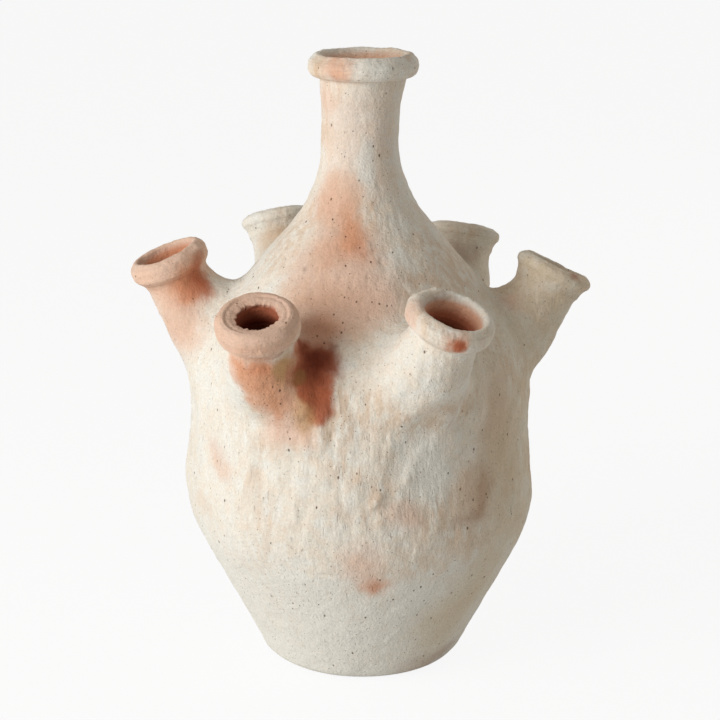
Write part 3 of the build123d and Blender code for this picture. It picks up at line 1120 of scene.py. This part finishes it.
def stain_group():
    """A node group that lays one egg-shaped stain over a colour."""
    group = bpy.data.node_groups.new("stain", "ShaderNodeTree")
    for kind, names in STAIN_SOCKETS.items():
        for name in names:
            group.interface.new_socket(name, in_out="INPUT", socket_type="NodeSocket" + kind)
    group.interface.new_socket("Colour", in_out="OUTPUT", socket_type="NodeSocketColor")
    given = group.nodes.new("NodeGroupInput").outputs
    sockets = {
        "Vector": given["Place"], "Location": given["Centre"],
        "Rotation": given["Turn"], "Scale": given["Half"],
    }
    egg = add(group, "Mapping", sockets, vector_type="TEXTURE").outputs[0]
    out = add(group, "VectorMath", {0: egg}, operation="LENGTH").outputs["Value"]
    share = ranged(group, out, given["Edge"], given["Core"], 0.0, given["Strength"])
    colour = mixed(group, share, given["Under"], given["Paint"])
    group.links.new(colour, group.nodes.new("NodeGroupOutput").inputs["Colour"])
    return group


STAIN = stain_group()


def touches(points, centre, turn, half):
    """Whether an egg reaches any of some points of a piece."""
    local = (points / MM - np.array(centre)) @ np.array(Euler(turn).to_matrix())
    return np.linalg.norm(local / (np.array(half) * 1.15 + 8), axis=1).min() < 1


def stained(tree, at, colour, points):
    """The colour with every stain that reaches the points."""
    for centre, turn, half, name, strength, softness in EGGS:
        if not touches(points, centre, turn, half):
            continue
        egg = tree.nodes.new("ShaderNodeGroup")
        egg.node_tree = STAIN
        sockets = {
            "Place": at["moved"], "Centre": centre, "Turn": turn, "Half": half,
            "Edge": 1.0 + softness * 0.3, "Core": 1.0 - softness * 0.9, "Strength": strength,
            "Under": colour, "Paint": PAINTS[name],
        }
        for socket, value in sockets.items():
            plug(tree, egg.inputs[socket], value)
        colour = egg.outputs[0]
    return colour


# %% [markdown]
# ## The bare clay and the painted shade inside the mouths
#
# No slip ran into the spouts, so near the rim their insides are the orange of
# the fired clay. Deeper in, the brick and dark red are painted shade, where
# less light falls. The colour goes by two things, how near to the axis of the
# mouth a point is and how deep. A stain would be the wrong shape, as it would
# also show on the outside.

# %% Line the mouths
# Near the rim a lining is the bare clay; the darker rows that start deeper down are painted shade.
# Each: mouth, paint, strength, widest radius, depth where it starts and its run, in mm
LININGS_AND_SHADE = [
    ("left", "orange", 0.9, 24.5, 0.5, 8), ("left", "brick", 0.9, 24, 9, 12),
    ("front_left", "brick", 0.95, 20, 1.5, 5), ("front_left", "oxblood", 1.0, 20, 7, 14),
    ("front_right", "peach", 0.85, 24.5, 1.0, 7), ("front_right", "brick", 0.9, 24, 7, 10),
    ("front_right", "oxblood", 0.8, 22, 18, 16), ("right", "blush", 0.8, 24.5, 0.5, 8),
    ("right", "ochre", 0.7, 24, 9, 12), ("rear_right", "ochre", 0.7, 24.5, 1.0, 12),
    ("rear_left", "ochre", 0.7, 24.5, 1.0, 12), ("neck", "peach", 0.7, 37, 0.5, 7),
    ("neck", "brick", 0.8, 34, 16, 20),
]
LINING_ENDS = (-62, -56)  # heights in mm over which a lining dies away, down in the throat


def mouth_place(name):
    """Centre of a mouth in millimetres and the turn of its frame."""
    if name == "neck":
        return (0.0, 0.0, urn_top / MM), (0.0, 0.0, 0.0)
    return tuple(MOUTHS[name][0] / MM), tuple(mouth_frame(name).to_euler())


def in_mouth(tree, at, name):
    """Distance from the axis of a mouth, and height above its rim, in millimetres."""
    centre, turn = mouth_place(name)
    sockets = {"Vector": at["plain"], "Location": centre, "Rotation": turn}
    local = add(tree, "Mapping", sockets, vector_type="TEXTURE").outputs[0]
    parts = add(tree, "SeparateXYZ", {0: local}).outputs
    flat = add(tree, "CombineXYZ", {0: parts[0], 1: parts[1]}).outputs[0]
    radius = add(tree, "VectorMath", {0: flat}, operation="LENGTH").outputs["Value"]
    return local, radius, parts[2]


def lined_and_shaded(tree, at, colour, names):
    """The colour with the linings of the named mouths: bare clay near the rim and painted shade deeper
    down.
    """
    for name, fill, strength, widest, start, run in LININGS_AND_SHADE:
        if name not in names:
            continue
        _, radius, height = in_mouth(tree, at, name)
        in_bore = ranged(tree, radius, widest, widest - 2.5)
        inside = calc(tree, "MULTIPLY", in_bore, ranged(tree, height, *LINING_ENDS))
        # Painted shade: the rows that start deeper are darker paints.
        deep = ranged(tree, height, -start, -start - run, 0.0, strength)
        colour = mixed(tree, calc(tree, "MULTIPLY", inside, deep), colour, PAINTS[fill])
    return colour


# %% [markdown]
# ## Grit and pits
#
# The clay holds grit. Some grains show as brown specks, some fell out and left
# pits. A Voronoi texture gives one grain to each cell; a grain shows only when
# the cell's own random number is high enough, and more of them show where the
# pot is dirty. The same mask is painted and pressed into the bump.

# %% Scatter the grit
DIRT = [  # x, z, half width, half height and lean, as the pot stains
    (93, 172, 26, 34, 20), (104, 225, 40, 60, 0), (20, 345, 44, 34, 0), (75, 80, 90, 60, 0),
    (-14, 320, 50, 34, 0), (20, 215, 34, 34, -30), (60, 22, 70, 26, 0),
]
DIRT_EGGS = [pot_egg(row) for row in DIRT]


def dirtiness(tree, at, points):
    """How dirty the surface is, from 0 to 1."""
    total = 0.0
    for centre, turn, half in DIRT_EGGS:
        if not touches(points, centre, turn, half):
            continue
        sockets = {"Vector": at["moved"], "Location": centre, "Rotation": turn, "Scale": half}
        egg = add(tree, "Mapping", sockets, vector_type="TEXTURE").outputs[0]
        out = add(tree, "VectorMath", {0: egg}, operation="LENGTH").outputs["Value"]
        total = calc(tree, "ADD", ranged(tree, out, 1.2, 0.3), total)
    return total


def grit(tree, vector, size, shown, dirt, smallest=0.06):
    """Masks of the grains in cells of a size: those that are seen, and those that stand out."""
    sockets = {"Vector": vector, "Scale": 1 / size, "Randomness": 1.0}
    cells = add(tree, "TexVoronoi", sockets)
    chance = add(tree, "SeparateColor", {0: cells.outputs["Color"]})
    radius = calc(tree, "MULTIPLY_ADD", chance.outputs[1], 2.2 * smallest, smallest)
    inside = calc(tree, "SUBTRACT", radius, cells.outputs["Distance"])
    spot = ranged(tree, inside, -0.03, 0.05)
    lucky = calc(tree, "MULTIPLY_ADD", dirt, 0.5, chance.outputs[0])
    seen = calc(tree, "MULTIPLY", spot, ranged(tree, lucky, 0.98 - shown, 1.02 - shown))
    standing = calc(tree, "MULTIPLY", spot, calc(tree, "GREATER_THAN", chance.outputs[0], 1 - shown))
    return seen, standing


# %% [markdown]
# ## The finished clay
#
# The slip, the stains and the grit make the colour. The bump adds what is too
# small for the mesh: grain of the clay, upright drag marks of the hand, and
# the pits. Unglazed clay is rough and hardly shines.

# %% Put the clay together
FINE_GRIT, COARSE_GRIT = 2.8, 5.4    # widths of the cells that hold a grain each, in mm
CONE = (330, 280)                    # heights in mm over which the drag marks begin
# Heights of the bump, in mm
GRAIN_HEIGHT, LUMP_HEIGHT, FINGER_HEIGHT = 0.5, 0.45, 0.4
SCRATCH_DEPTH, FINE_PIT_DEPTH, COARSE_PIT_DEPTH = -0.45, -0.25, -0.6


def finger_lines(tree, at, mouth):
    """Noise that runs in rings round a mouth, as a wet finger leaves it."""
    local, radius, height = in_mouth(tree, at, mouth)
    slow = add(tree, "VectorMath", {0: local, 3: 0.03}, operation="SCALE").outputs[0]
    section = add(tree, "CombineXYZ", {0: radius, 1: height}).outputs[0]
    section = add(tree, "VectorMath", {0: section, 1: slow}, operation="ADD").outputs[0]
    return noise_node(tree, section, 1.7, 3, 0.6).outputs[0]


def washed_clay(name, piece, mouth=None):
    """The material of one piece. A collar also names the mouth that it goes round."""
    material = bpy.data.materials.new(name)
    material.use_nodes = True
    tree = material.node_tree
    shader = tree.nodes["Principled BSDF"]
    points = read_points(piece.data)[::5]
    at = clay_places(tree)
    colour = stained(tree, at, slip_colour(tree, at), points)
    colour = lined_and_shaded(tree, at, colour, LINED.get(name, ()))
    dirt = dirtiness(tree, at, points)
    fine, fine_pits = grit(tree, at["plain"], FINE_GRIT, 0.34, dirt)
    sagging = squeezed(tree, at["plain"], 0.6)
    coarse, coarse_pits = grit(tree, sagging, COARSE_GRIT, 0.26, dirt, 0.05)
    grain = noise_node(tree, at["plain"], 1.7, 3, 0.6).outputs[0]
    drag = noise_node(tree, at["tall"], 2.6, 2).outputs[0]
    lump = noise_node(tree, at["plain"], 5.0, 2).outputs[0]
    up = add(tree, "SeparateXYZ", {0: at["plain"]}).outputs[2]
    below_cone = ranged(tree, up, *CONE)
    drawn = squeezed(tree, at["plain"], 0.07)
    scratch = ranged(tree, noise_node(tree, drawn, 2.2, 1).outputs[0], 0.64, 0.76)
    scratch = calc(tree, "MULTIPLY", scratch, ranged(tree, lump, 0.45, 0.6))
    scratch = calc(tree, "MULTIPLY", scratch, below_cone)
    shade = ranged(tree, grain, 0.25, 0.75, 0.9, 1.06)
    height = calc(tree, "MULTIPLY", grain, GRAIN_HEIGHT)
    drag_depth = calc(tree, "MULTIPLY_ADD", below_cone, 0.2, 0.4)
    height = calc(tree, "MULTIPLY_ADD", drag, drag_depth, height)
    for mask, rise in (
        (scratch, SCRATCH_DEPTH), (lump, LUMP_HEIGHT),
        (fine_pits, FINE_PIT_DEPTH), (coarse_pits, COARSE_PIT_DEPTH),
    ):
        height = calc(tree, "MULTIPLY_ADD", mask, rise, height)
    if mouth:
        lines = finger_lines(tree, at, mouth)
        height = calc(tree, "MULTIPLY_ADD", lines, FINGER_HEIGHT, height)
        shade = calc(tree, "MULTIPLY", shade, ranged(tree, lines, 0.3, 0.7, 0.95, 1.05))
    colour = add(tree, "VectorMath", {0: colour, 3: shade}, operation="SCALE").outputs[0]
    for mask, strength, name_of_paint in (
        (fine, 0.7, "grit"), (coarse, 0.85, "soot"), (scratch, 0.15, "grit"),
    ):
        colour = mixed(tree, calc(tree, "MULTIPLY", mask, strength), colour, PAINTS[name_of_paint])
    bump = add(tree, "Bump", {"Strength": 1.0, "Distance": MM, "Height": height})
    plug(tree, shader.inputs["Base Color"], colour)
    plug(tree, shader.inputs["Normal"], bump.outputs[0])
    plug(tree, shader.inputs["Roughness"], ranged(tree, grain, 0.2, 0.8, 0.82, 0.94))
    shader.inputs["Specular IOR Level"].default_value = 0.25
    return material


MOUTH_OF = {"spout_rim_" + place: place for place in PLACES} | {"neck_rim": "neck"}
LINED = {"washed_" + node: (mouth,) for node, mouth in MOUTH_OF.items()}
LINED |= {"washed_spout_" + place: (place,) for place in PLACES}
for node_name, piece in PIECES.items():
    piece.data.materials.append(washed_clay("washed_" + node_name, piece, MOUTH_OF.get(node_name)))
print("clay of the wall:", len(wall.data.materials[0].node_tree.nodes), "nodes")

# %% [markdown]
# ## The camera
#
# The photographer stood about 1.5 m away, a little above the mouths, and
# looked down by a sixth of a right angle. These numbers were fitted to the
# outline of the pot, since a camera that stands elsewhere would hide the rear
# spouts or open the front ones too far.

# %% Set up the camera
CAMERA_PLACE = (0, -1.53, 0.7114)
LOOK_DOWN = 16.64  # degrees below level
LENS = 95.5
scene = bpy.context.scene
scene.view_settings.view_transform = "Standard"
camera = bpy.data.objects.new("camera", bpy.data.cameras.new("camera"))
scene.collection.objects.link(camera)
camera.location = CAMERA_PLACE
camera.rotation_euler = (radians(90 - LOOK_DOWN), 0, 0)
camera.data.lens = LENS
scene.camera = camera
print("camera at", CAMERA_PLACE, "with a lens of", LENS, "mm")

# %% [markdown]
# ## Daylight
#
# A large soft window stands at the left and a white wall gives a little light
# back from the right. The room is a pale warm grey. Where the camera looks
# past the pot it sees plain white, as in a photo for a catalogue. The ray kind
# does that, so the clay isn't lit by the white.

# %% Light the room
def seen_white(tree, lit, white, share):
    """Mixes white over a shader, by a share, for rays that look, mirror or pass through."""
    path = add(tree, "LightPath").outputs
    looks = calc(tree, "MAXIMUM", path["Is Camera Ray"], path["Is Glossy Ray"])
    looks = calc(tree, "MAXIMUM", looks, path["Is Transmission Ray"])
    looks = calc(tree, "MULTIPLY", looks, share)
    return add(tree, "MixShader", {0: looks, 1: lit, 2: white}).outputs[0]


world = bpy.data.worlds.new("studio")
scene.world = world
world.use_nodes = True
tree = world.node_tree
room = tree.nodes["Background"]
room.inputs["Color"].default_value = (1, 0.95, 0.86, 1)
room.inputs["Strength"].default_value = 0.33
white = add(tree, "Background", {"Color": (1, 1, 1, 1), "Strength": 1.0}).outputs[0]
seen = seen_white(tree, room.outputs[0], white, 1.0)
plug(tree, tree.nodes["World Output"].inputs["Surface"], seen)


def soft_lamp(name, place, aim, size, power, colour):
    """An area lamp that faces a point."""
    lamp = bpy.data.lights.new(name, "AREA")
    lamp.shape = "RECTANGLE"
    lamp.size, lamp.size_y = size
    lamp.energy = power
    lamp.color = colour
    holder = bpy.data.objects.new(name, lamp)
    scene.collection.objects.link(holder)
    holder.location = place
    holder.rotation_euler = (Vector(aim) - Vector(place)).to_track_quat("-Z", "Y").to_euler()


# Each: name, place, point that it faces, size in metres, power in watts, colour
LAMPS = [
    ("window", (-1.62, -1.15, 0.95), (0, 0, 0.24), (1.2, 1.4), 34, (1, 0.99, 0.975)),
    ("white_wall", (1.7, 1.2, 0.6), (0, 0, 0.25), (1.6, 1.6), 8, (1, 0.97, 0.92)),
]
for row in LAMPS:
    soft_lamp(*row)
print(len(LAMPS), "lamps")

# %% [markdown]
# ## The floor
#
# A plain pale floor keeps the shadow under the foot, so the pot stands and
# doesn't float.

# %% Lay the floor
floor = make_object("floor", bmesh.new())
bm = bmesh.new()
bmesh.ops.create_grid(bm, x_segments=1, y_segments=1, size=6)
bm.to_mesh(floor.data)
bm.free()
floor_paint = bpy.data.materials.new("floor_paint")
floor_paint.use_nodes = True
tree = floor_paint.node_tree
shader = tree.nodes["Principled BSDF"]
shader.inputs["Base Color"].default_value = (0.85, 0.85, 0.85, 1)
shader.inputs["Roughness"].default_value = 0.9
white = add(tree, "Emission", {"Strength": 1.0}).outputs[0]
seen = seen_white(tree, shader.outputs[0], white, 0.9)
plug(tree, tree.nodes["Material Output"].inputs["Surface"], seen)
floor.data.materials.append(floor_paint)
